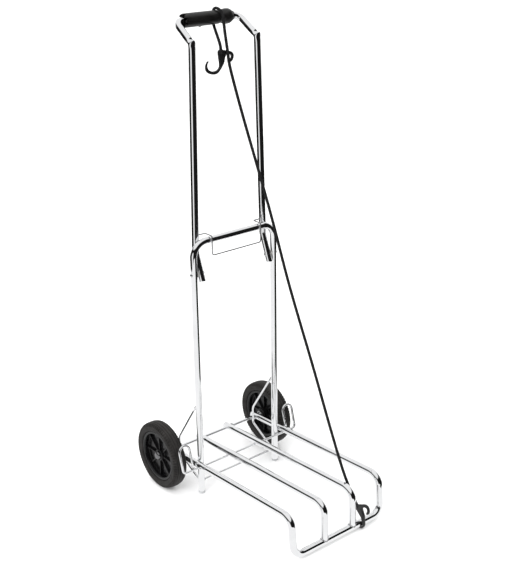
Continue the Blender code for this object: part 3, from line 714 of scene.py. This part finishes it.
wire("guard_rod_wire", both_sides(guard_half, [loop_bend, loop_bend, 8]), WIRE_R, CHROME_WIRE, "frame", "guard_rod")
wire("lower_rod_wire", [V(-LEG_X + TUBE_R - 0.6, LEG_Y, LOWER_ROD_Z), V(LEG_X - TUBE_R + 0.6, LEG_Y, LOWER_ROD_Z)],
     WIRE_R, CHROME_WIRE, "frame", "lower_rod")
post_y = AXLE_Y - AXLE_R - WIRE_R - GAP
bracket_top, bracket_low = (LEG_Y + TUBE_R + GAP + k * WIRE_R for k in (0.83, 0.46))
bracket = ((bracket_top, 206), (post_y, 105), (post_y, 66), (bracket_low, 27))
for s, side in SIDES:
    wire(f"axle_bracket_wire_{side}", rounded([V(s * LEG_X, y, z) for y, z in bracket], [22, 10]),
         WIRE_R, CHROME_WIRE, "frame", f"axle_bracket_{side}")

# weld metal, plated over with the frame
bm = bmesh.new()
for s, side in SIDES:
    x = s * LEG_X
    for k, dx in enumerate((-5.4, 5.4)):
        blob(bm, V(x + dx, GUARD_Y + 2.2, GUARD_Z), (3.0, 2.0, 2.4), seed=s * 3.1 + k)
        blob(bm, V(x + dx * 0.45, AXLE_Y - AXLE_R - 0.4, WHEEL_R + 0.4), (2.0, 1.6, 2.4), seed=s * 5.3 + k)
    blob(bm, V(x, GUARD_Y + 2.6, GUARD_Z + 2.0), (3.6, 1.8, 1.7), seed=s * 1.9)
    blob(bm, V(x, GUARD_Y + 2.6, GUARD_Z - 2.2), (3.4, 1.7, 1.5), seed=s * 8.9)
    bead(bm, V(s * (LEG_X - TUBE_R + 0.2), LEG_Y, LOWER_ROD_Z), (1, 0, 0), 2.9, 1.25, seed=s * 2.3)
    blob(bm, V(x, LEG_Y + TUBE_R + 0.9, 205), (3.2, 1.7, 5.0), seed=s * 4.7)
    blob(bm, V(x, LEG_Y + TUBE_R + 0.8, 28.5), (3.1, 1.6, 4.4), seed=s * 6.1)
    blob(bm, V(s * LOOP_IN_X, GUARD_Y + 0.4, GUARD_Z + WIRE_R + 1.2), (3.4, 2.8, 2.4), seed=s * 7.7)
put("frame_welds", bm, WELD, "frame", (), 50)

for s, side in SIDES:
    bore = TUBE_R - TUBE_WALL
    profile = softened([(TUBE_R - 1.2, 0), (TUBE_R + 0.4, 1.4), (TUBE_R + 0.4, FOOT_H), (bore - GAP, FOOT_H + 0.1),
                        (bore - GAP, 14), (bore - 1.2, 16)], 0.5, False)
    bm = bmesh.new()
    made = [[bm.verts.new(V(s * LEG_X + r * math.cos(a), LEG_Y + r * math.sin(a), z))
             for a in full_turn(32, 0.5)] for r, z in profile]
    capped(bm, made)
    put(f"foot_plug_moulded_{side}", bm, PLUG, "frame", (f"foot_plug_{side}",))

AXLE_AT = V(0, AXLE_Y, WHEEL_R)
turned("axle_rod", [(-AXLE_HALF, AXLE_R - 0.8), (-AXLE_HALF + 0.8, AXLE_R), (AXLE_HALF - 0.8, AXLE_R),
                    (AXLE_HALF, AXLE_R - 0.8)], AXLE_AT, CHROME_WIRE, "frame", "axle", 32, closed=False)

# ---- wheels ----
HUB_R, HUB_IN, HUB_OUT, BUSH_R = 13.0, 17.0, 9.0, 6.2
RIM_R, RIM_IN, RIM_HALF, WEB_HALF, RIBS = 56.0, 49.0, 12.5, 1.5, 8
LUGS = 72

# Half of the tyre's section, from the bead over the sidewall to the middle of the tread: x, r and 1 where a
# lug slot may cut.
TYRE_HALF = ((10.2, 56.3, 0), (12.4, 56.4, 0), (13.9, 57.0, 0), (14.7, 58.0, 0), (15.0, 59.4, 0), (15.5, 60.3, 0),
             (15.7, 61.4, 0), (15.35, 61.9, 0), (15.4, 62.5, 0), (15.9, 63.0, 0), (16.0, 64.4, 0), (15.7, 64.9, 0),
             (15.7, 65.4, 0), (16.0, 65.9, 0), (15.95, 66.8, 0), (15.9, 67.2, 1), (15.6, 68.6, 1), (15.0, 70.1, 1),
             (14.1, 71.5, 1), (13.0, 72.6, 1), (12.0, 73.25, 1), (11.7, 73.4, 0), (10.6, 73.85, 0), (10.1, 73.9, 0),
             (9.8, 72.7, 0), (8.9, 72.8, 0), (8.6, 74.3, 0), (7.2, 74.6, 0), (5.0, 74.88, 0), (4.5, 74.9, 0),
             (4.2, 73.5, 0), (3.3, 73.55, 0), (3.0, 74.97, 0), (1.5, 75.0, 0))
TYRE_LOOP = list(TYRE_HALF) + [(-x, r, cut) for x, r, cut in reversed(TYRE_HALF)]
SLOT_DEPTH = 2.1
PITCH = ((0.0, 0), (0.5, 0), (0.56, 1), (0.94, 1))     # where in a lug's pitch the slot begins and ends


def tyre(name, centre, body, node):
    """A tyre with slots between the lugs of both shoulders."""
    bm = bmesh.new()
    made = []
    for lug in range(LUGS):
        for share, slot in PITCH:
            ring = []
            for x, r, cut in TYRE_LOOP:
                # the two shoulders are half a pitch out of step
                a = 2 * math.pi * (lug + share + (0.5 if x < 0 else 0)) / LUGS
                if cut and slot:
                    toward = Vector((x * 0.55, 64 - r)).normalized()
                    x, r = x - math.copysign(SLOT_DEPTH * 0.75, x), r + toward.y * SLOT_DEPTH * 0.8
                ring.append(bm.verts.new(centre + V(x, r * math.cos(a), r * math.sin(a))))
            made.append(ring)
    skin(bm, made + [made[0]])
    return put(name, bm, RUBBER, body, (node,), 48)


def rim(name, centre, s, body, node):
    """Ring, web and hub turned in one, with eight ribs joined on."""
    lip = [(RIM_HALF, RIM_IN + 1.5), (RIM_HALF, RIM_R - 0.5), (RIM_HALF - 1.5, RIM_R)]
    dish = [(RIM_HALF - 3, RIM_IN), (WEB_HALF + 0.8, RIM_IN - 0.6), (WEB_HALF, RIM_IN - 1.8), (WEB_HALF, 38),
            (WEB_HALF + 0.5, 37.4), (WEB_HALF + 0.5, 36.6), (WEB_HALF, 36), (WEB_HALF, HUB_R + 2.2),
            (WEB_HALF + 0.8, HUB_R + 0.6)]
    profile = lip + [(-x, r) for x, r in reversed(lip)] + [(-x, r) for x, r in dish]
    profile += [(-HUB_IN + 2, HUB_R), (-HUB_IN, HUB_R - 1.5), (-HUB_IN, BUSH_R + GAP), (HUB_OUT, BUSH_R + GAP),
                (HUB_OUT, HUB_R - 1.5), (HUB_OUT - 1.5, HUB_R)] + dish[::-1]
    bm = bmesh.new()
    lathe(bm, [(s * x, r) for x, r in softened(profile, 0.7)], centre, 96)
    body_ob = put(name, bm, RIM, None, (), 30)
    for turn in full_turn(RIBS):
        bm = bmesh.new()
        bmesh.ops.create_cube(bm, size=1)
        for v in bm.verts:
            # half depth, half width and radius at the rib's outer and inner end
            deep, wide, r = (7.0, 1.0, RIM_IN + 1.0) if v.co.z > 0 else (6.2, 1.35, HUB_R - 1.0)
            v.co = V(v.co.x * 2 * deep, v.co.y * 2 * wide, r)
        upright = [e for e in bm.edges if abs((e.verts[0].co - e.verts[1].co).normalized().z) > 0.9]
        bmesh.ops.bevel(bm, geom=upright, offset=0.6 * MM, segments=3, affect="EDGES")
        join(body_ob, bm, turn, centre, RIM)
    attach(body_ob, body)
    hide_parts(node)
    return body_ob


def join(target, bm, turn, centre, mat):
    """Turn a bmesh about the X axis, move it to centre and join it to an object by a boolean union."""
    bmesh.ops.rotate(bm, verts=bm.verts, matrix=Matrix.Rotation(turn, 3, "X"))
    bmesh.ops.translate(bm, verts=bm.verts, vec=centre)
    mesh = bpy.data.meshes.new("joined")
    bm.to_mesh(mesh)
    bm.free()
    mesh.materials.append(mat)
    part = bpy.data.objects.new("joined", mesh)
    bpy.context.scene.collection.objects.link(part)
    mod = target.modifiers.new("join", "BOOLEAN")
    mod.operation = "UNION"
    mod.solver = "EXACT"
    mod.object = part
    whole = bpy.data.meshes.new_from_object(target.evaluated_get(bpy.context.evaluated_depsgraph_get()))
    target.modifiers.clear()
    old, target.data = target.data, whole
    bpy.data.meshes.remove(old)
    bpy.data.objects.remove(part)
    whole.shade_smooth()
    whole.set_sharp_from_angle(angle=math.radians(30))


def ring_section(x, r, width):
    """Section of a flat ring on the axle, from x for a width along it."""
    return [(x, AXLE_R + GAP), (x, r), (x + width, r), (x + width, AXLE_R + GAP)]


BUSH_PROUD = 0.8            # how far a bush stands out of its hub
CLIP_WIDTH = 1.2
for s, side in SIDES:
    body = f"wheel_{side}"
    at = V(s * WHEEL_X, AXLE_Y, WHEEL_R)
    tyre(f"tyre_moulded_{side}", at, body, f"tyre_{side}")
    rim(f"rim_moulded_{side}", at, s, body, f"rim_{side}")
    edge = HUB_OUT + BUSH_PROUD
    turned(f"hub_bush_turned_{side}", [(edge, AXLE_R + 0.1), (edge, BUSH_R), (-HUB_IN - BUSH_PROUD, BUSH_R),
                                       (-HUB_IN - BUSH_PROUD, AXLE_R + 0.1)],
           at, NYLON_SHADED, body, f"hub_bush_{side}", 32, s=s, soft=0.4)
    face = WHEEL_X + HUB_OUT + BUSH_PROUD + GAP
    turned(f"axle_cap_pressed_{side}",
           [(face, AXLE_R + GAP), (face, 9.0), (face + 0.8, 9.3), (face + 1.6, 8.8), (face + 3.4, 8.2),
            (face + 4.6, 6.6), (face + 5.3, 4.2), (face + 5.6, 0.4), (face + 2.5, 0.4), (face + 2.5, AXLE_R + GAP)],
           AXLE_AT, CAP, "frame", f"axle_cap_{side}", 48, s=s, soft=0.5)
    inside = WHEEL_X - HUB_IN - BUSH_PROUD - GAP
    turned(f"washer_{side}", ring_section(inside, 8.0, -1.4), AXLE_AT, ZINC, "frame",
           f"wheel_washer_{side}", 40, s=s, soft=0.3)
    for where, x in (("inner", PLAT_IN_X + PLAT_R + GAP), ("outer", PLAT_OUT_X - PLAT_R - GAP - CLIP_WIDTH)):
        turned(f"clip_{where}_{side}", ring_section(x, 6.6, CLIP_WIDTH), AXLE_AT, ZINC, "frame",
               f"axle_clip_{where}_{side}", 32, s=s, soft=0.3)

# ---- platform ----
tail = Vector((0, 1, -SLOPE)).normalized() * PLAT_TAIL
tail_y, tail_z = AXLE_Y + tail.y, WHEEL_R + tail.z


def deck_height(y):
    """Height of the deck tubes' centre lines."""
    return WHEEL_R + SLOPE * (AXLE_Y - y)


toe_y = BAR_Y + OUT_TOE_BACK


def outer_half(s):
    """One side of the outer deck tube, from its rear end to the corner of the front bar."""
    return [V(s * PLAT_OUT_X, y, z) for y, z in ((tail_y, tail_z), (toe_y, deck_height(toe_y)), (BAR_Y, BAR_Z))]


bm = bmesh.new()
tube(bm, both_sides(outer_half, [TOE_BEND, TOE_BEND], 5), PLAT_R, TUBE_WALL, 32, (True, True), 40)
put("platform_outer_chromed", bm, [CHROME, BORE], "platform", ("platform_outer_tube",), 50)
weld = bmesh.new()
for s, side in SIDES:
    x = s * PLAT_IN_X
    bm = bmesh.new()
    path = rounded([V(x, tail_y, tail_z), V(x, BAR_Y, deck_height(BAR_Y)), V(x, BAR_Y, BAR_Z + PLAT_R + GAP)],
                   [TOE_BEND], 5)
    made, _ = tube(bm, path, PLAT_R, TUBE_WALL, 32, (True, False), 40)
    # the lower end is coped to sit on the front bar
    for v in made[-1]:
        dy = v.co.y / MM - BAR_Y
        v.co.x = (v.co.x / MM - x) * PLAT_R / (PLAT_R - CHAMFER) * MM + x * MM
        v.co.z = (BAR_Z + math.sqrt(max(0.0, PLAT_R ** 2 - dy * dy)) - 0.4) * MM
    put(f"platform_inner_chromed_{side}", bm, [CHROME, BORE], "platform",
        (f"platform_inner_tube_{side}",), 50)
    bead(weld, V(x, BAR_Y, BAR_Z), (0, 0, 1), PLAT_R + 0.1, 1.15, seed=s * 1.3, steps=56,
         lift=lambda a: math.sqrt(max(0.0, PLAT_R ** 2 - (PLAT_R * math.sin(a)) ** 2 * 0.94)) + 0.5)
put("platform_welds", weld, WELD, "platform", (), 50)

# ---- handle ----
hy = LEG_Y + HANDLE_BEHIND


def handle_half(s):
    """One side of the handle, from the stub's end to the top bar's corner."""
    return [V(s * HANDLE_X, LEG_Y - 6.1, 488.0), V(s * HANDLE_X, hy, STUB_BEND_Z), V(s * HANDLE_TOP_X, hy, NECK_Z),
            V(s * TOP_CORNER_X, LEG_Y + GRIP_BEHIND, GRIP_Z)]


bm = bmesh.new()
knees = [V(s * HANDLE_TOP_X, hy, NECK_Z) for s, _ in SIDES]
KINK_NEAR, KINK_REACH, KINK_LEAN = 16 * MM, 24 * MM, math.radians(30)
coarse = dense(both_sides(handle_half, [30, 12, 17], 4), 3)
handle_path = []
for a, b in zip(coarse, coarse[1:]):
    fine = 5 if min((a - knee).length for knee in knees) < KINK_NEAR else 1
    handle_path += [a.lerp(b, k / fine) for k in range(fine)]
made, path = tube(bm, handle_path + [coarse[-1]], TUBE_R, TUBE_WALL, 36, (True, True), 3)
# The bend at the top of each straight run is kinked: flattened inside, with a crease standing up outside.
outward = Vector((0, -math.cos(KINK_LEAN), math.sin(KINK_LEAN)))
along = Vector((0, math.sin(KINK_LEAN), math.cos(KINK_LEAN)))
for knee in knees:
    for p, ring in zip(path, made):
        away = (p - knee).dot(along) / MM
        if (p - knee).length > KINK_REACH:
            continue
        flat, crease = math.exp(-(away / 7.5) ** 2), math.exp(-(away / 1.7) ** 2)
        dent, groove = math.exp(-((away - 5.0) / 3.4) ** 2), math.exp(-((away + 3.8) / 1.8) ** 2)
        for v in ring:
            q = (v.co - p).dot(outward) / MM
            if q < 0:
                v.co -= outward * (q * 0.5 * flat * MM)
            else:
                side_on = max(0.0, q / TUBE_R) ** 2
                move = outward * (2.6 * crease - 3.4 * dent - 0.7 * groove) + Vector((0, 0, 3.6 * crease))
                v.co += move * (side_on * MM)
            v.co.x += (v.co.x - p.x) * 0.10 * flat
put("handle_tube_chromed", bm, [CHROME, BORE], "handle", ("handle_tube",), 50)

PIVOT_AT = V(0, LEG_Y, PIVOT_Z)
SPACER_R = 6.5
for s, side in SIDES:
    out_x, in_x = LEG_X + TUBE_R + 0.2, HANDLE_X - TUBE_R - 0.3
    turned(f"pivot_rivet_domed_{side}",
           [(out_x + 1.5, 0.3), (out_x + 1.3, 2), (out_x + 0.8, 3.3), (out_x + 0.2, 3.8), (out_x - 0.6, 3.6),
            (out_x - 0.6, RIVET_R), (in_x + 0.6, RIVET_R), (in_x + 0.6, 3.4), (in_x - 0.3, 3.4), (in_x - 1, 2.3),
            (in_x - 1.2, 0.3)],
           PIVOT_AT, ZINC, "frame", f"pivot_rivet_{side}", 40, closed=False, s=s, soft=0.3)
    a, b = HANDLE_X + TUBE_R + GAP, LEG_X - TUBE_R - GAP
    turned(f"pivot_spacer_moulded_{side}", [(a, RIVET_R + 0.1), (a, SPACER_R), (b, SPACER_R), (b, RIVET_R + 0.1)],
           PIVOT_AT, NYLON_SHADED, "frame", f"pivot_spacer_{side}", 32, s=s, soft=0.4)

# grip: barrel with a crown of eight lobes at the open end, a waist and a round end
GRIP_AT = V(0, LEG_Y + GRIP_BEHIND, GRIP_Z)
SLEEVE_BORE = TUBE_R + GAP
LOBES = 8
FIN_LENGTH, FIN_WIDTH, FIN_DEPTH = 9.6, 1.7, 5.0       # the fins inside the crown, one for each lobe
BUMP_X, BUMP_HEIGHT, BUMP_R = -20.0, 2.0, 2.6
contour = curve_through(points(
    (GRIP_LEFT + 3.0, GRIP_R), (-40, GRIP_R + 0.05), (-10, GRIP_R), (12, GRIP_R - 0.1), (22, GRIP_R - 0.4),
    (28, GRIP_R - 1.5), (31.5, GRIP_R - 1.3), (35.5, GRIP_R + 0.1), (40, GRIP_BALL_R - 0.3), (45, GRIP_BALL_R),
    (50, GRIP_BALL_R - 0.7), (54.5, GRIP_BALL_R - 2.9), (57.8, GRIP_BALL_R - 5.6), (60, SLEEVE_BORE + 1.8),
    (GRIP_RIGHT, SLEEVE_BORE + 0.6)), 9)
contour = [(GRIP_LEFT + 0.2, GRIP_R - 1.2), (GRIP_LEFT + 1.0, GRIP_R - 0.35)] + [tuple(p) for p in contour]
CROWN_POINTS = 3            # so many points of the contour, and the last, stand out into the lobes
contour += [(GRIP_RIGHT - 0.3, SLEEVE_BORE), (GRIP_LEFT + 10, SLEEVE_BORE), (GRIP_LEFT + 10, SLEEVE_BORE + 3.6),
            (GRIP_LEFT + 0.2, SLEEVE_BORE + 4.4)]
last = len(contour) - 1


def grip_shape(i, a, x, r):
    """Lobes round the open end, and one small bump under the barrel."""
    lobe = 0.5 + 0.5 * math.cos(LOBES * a)
    if i < CROWN_POINTS or i == last:
        x += 5.2 * (1 - min(1.0, lobe * 2.2))
    if r > GRIP_R - 2.5:
        down = math.remainder(a + math.pi / 2, 2 * math.pi) * GRIP_R
        r += BUMP_HEIGHT * math.exp(-((x - BUMP_X) / BUMP_R) ** 2 - (down / BUMP_R) ** 2)
    return x, r


bm = bmesh.new()
lathe(bm, contour, GRIP_AT, 96, sway=grip_shape)
grip = put("grip_moulded", bm, GRIP, None, (), 40)
for turn in full_turn(LOBES):
    bm = bmesh.new()
    bmesh.ops.create_cube(bm, size=1)
    for v in bm.verts:
        v.co = V(GRIP_LEFT + 5.6 + v.co.x * FIN_LENGTH, v.co.y * FIN_WIDTH, SLEEVE_BORE + 2.6 + v.co.z * FIN_DEPTH)
    bmesh.ops.bevel(bm, geom=list(bm.edges), offset=0.35 * MM, segments=2, affect="EDGES")
    # angles are measured from +Y, as in lathe()
    join(grip, bm, turn - math.pi / 2, GRIP_AT, GRIP)
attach(grip, "handle")
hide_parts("grip")

# ---- wire bail ----
bail_front = LEG_Y - TUBE_R - BAIL_R - GAP
bail_hole_x = HANDLE_X - (HANDLE_X - HANDLE_TOP_X) * (BAIL_Z - STUB_BEND_Z) / (NECK_Z - STUB_BEND_Z)
pin_x = bail_hole_x - TUBE_R + 0.5


def bail_half(s):
    """One side of the bail, from its pin in the handle tube to the corner of its front bar."""
    return [V(s * pin_x, hy, BAIL_Z), V(s * BAIL_X, hy, BAIL_Z), V(s * BAIL_X, bail_front, BAIL_Z),
            V(s * BAIL_X, bail_front, BAIL_LOW_Z)]


wire("lock_bail_wire", both_sides(bail_half, [3, 3.5, 5], 10), BAIL_R, BAIL_WIRE, "lock_bail", "lock_bail", sides=14)

# ---- stage ----
scene = bpy.context.scene
scene.view_settings.view_transform = "Standard"


def stage_mesh(name, corners, mat):
    mesh = bpy.data.meshes.new(name)
    mesh.from_pydata(corners, [], [tuple(range(len(corners)))])
    mesh.materials.append(mat)
    ob = bpy.data.objects.new(name, mesh)
    scene.collection.objects.link(ob)
    return ob


floor_paper = Shader("floor_paper", specular=0.1)
floor_paper.bsdf.inputs["Base Color"].default_value = (0.93, 0.93, 0.93, 1)
floor_paper.bsdf.inputs["Roughness"].default_value = 0.9
FLOOR_HALF, FLOOR_Z = 30, -0.0004
floor = stage_mesh("floor", [(x * FLOOR_HALF, y * FLOOR_HALF, FLOOR_Z)
                             for x, y in ((-1, -1), (1, -1), (1, 1), (-1, 1))], floor_paper.mat)
floor.visible_glossy = False

# What the chrome sees of the floor: a lit sheet of paper of limited size, seen only in reflections.
paper_mat = bpy.data.materials.new("lit_paper")
paper_mat.use_nodes = True
nodes = Nodes(paper_mat.node_tree)
nodes.tree.nodes.clear()
emit = nodes.add("ShaderNodeEmission")
emit.inputs["Color"].default_value = (1, 1, 1, 1)
emit.inputs["Strength"].default_value = 1.0
nodes.link(emit.outputs[0], nodes.add("ShaderNodeOutputMaterial").inputs["Surface"])
PAPER_REACH, DARK_REACH, DARK_FROM, DARK_TO, PAPER_Y, PAPER_Z = 1.6, 0.4, -85, 0, -0.05, -0.003
paper_edge = []
for degrees in range(-180, 180, 5):
    # cut away on the right at the front, where the room behind it is dark
    reach = DARK_REACH if DARK_FROM < degrees < DARK_TO else PAPER_REACH
    a = math.radians(degrees)
    paper_edge.append((reach * math.cos(a), reach * math.sin(a) + PAPER_Y, PAPER_Z))
paper = stage_mesh("lit_paper", paper_edge, paper_mat)
paper.visible_camera = paper.visible_diffuse = paper.visible_shadow = paper.visible_transmission = False

world = bpy.data.worlds.new("studio")
scene.world = world
world.use_nodes = True
nodes = Nodes(world.node_tree)
nodes.tree.nodes.clear()


def step_up(value, low, high):
    """0 below low, 1 above high and smooth between."""
    ramp = nodes.add("ShaderNodeMapRange", interpolation_type="SMOOTHSTEP")
    ramp.inputs["From Min"].default_value = low
    ramp.inputs["From Max"].default_value = high
    nodes.link(value, ramp.inputs["Value"])
    return ramp.outputs["Result"]


direction = nodes.add("ShaderNodeTexCoord").outputs["Generated"]


def toward(azimuth, elevation):
    """How nearly a ray points that way: azimuth from the camera's side, positive to its right, in degrees."""
    a = math.radians(azimuth) + CAM_AZIMUTH
    e = math.radians(elevation)
    dot = nodes.add("ShaderNodeVectorMath", operation="DOT_PRODUCT")
    dot.inputs[1].default_value = (math.sin(a) * math.cos(e), -math.cos(a) * math.cos(e), math.sin(e))
    nodes.link(direction, dot.inputs[0])
    return dot.outputs["Value"]


def within(value, outer_edge, inner_edge):
    """0 outside the outer angle from a direction, 1 inside the inner one, in degrees."""
    return step_up(value, math.cos(math.radians(outer_edge)), math.cos(math.radians(inner_edge)))


def above(value, low, high):
    """0 below one height above the horizon, 1 above the other, in degrees."""
    return step_up(value, math.sin(math.radians(low)), math.sin(math.radians(high)))


# a bright ceiling that starts higher on the right, a backdrop behind the cart and a soft box on the left
to_right = within(toward(82, 10), 75, 45)
overhead = above(nodes.maths("SUBTRACT", toward(0, 90), nodes.maths("MULTIPLY", to_right, 0.18)), 26, 36)
backdrop = nodes.maths("MULTIPLY", within(toward(180, 0), 66, 56), above(toward(0, 90), -14, -4))
left_box = within(toward(-32, -6), 24, 18)
light = nodes.maths("MAXIMUM", nodes.maths("MAXIMUM", overhead, backdrop), left_box)
LIGHT_LEVEL, DARK_LEVEL = 1.15, 0.012
level = nodes.maths("ADD", nodes.maths("MULTIPLY", light, LIGHT_LEVEL), DARK_LEVEL)
studio = nodes.add("ShaderNodeBackground")
nodes.link(level, studio.inputs["Strength"])
plain = nodes.add("ShaderNodeBackground")
plain.inputs["Color"].default_value = (1, 1, 1, 1)
plain.inputs["Strength"].default_value = 1.0
mix = nodes.add("ShaderNodeMixShader")
nodes.link(nodes.add("ShaderNodeLightPath").outputs["Is Camera Ray"], mix.inputs["Fac"])
nodes.link(studio.outputs[0], mix.inputs[1])
nodes.link(plain.outputs[0], mix.inputs[2])
nodes.link(mix.outputs[0], nodes.add("ShaderNodeOutputWorld").inputs["Surface"])


def lamp(name, kind, energy, place=(0, 0, 0)):
    """A lamp that lights surfaces but isn't itself reflected in the chrome."""
    data = bpy.data.lights.new(name, kind)
    data.energy = energy
    ob = bpy.data.objects.new(name, data)
    scene.collection.objects.link(ob)
    ob.location = place
    ob.visible_glossy = False
    return ob


left_soft = lamp("left_soft", "AREA", 55, (-2.6, -0.6, 1.8))
left_soft.data.shape = "RECTANGLE"
left_soft.data.size, left_soft.data.size_y = 1.6, 1.8
left_soft.rotation_mode = "QUATERNION"
left_soft.rotation_quaternion = (left_soft.location - Vector((0, 0, 0.4))).to_track_quat("Z", "Y")
wide_top = lamp("wide_top", "SUN", 2.4)
wide_top.data.angle = math.radians(120)
wide_top.rotation_euler = (math.radians(8), math.radians(-6), 0)
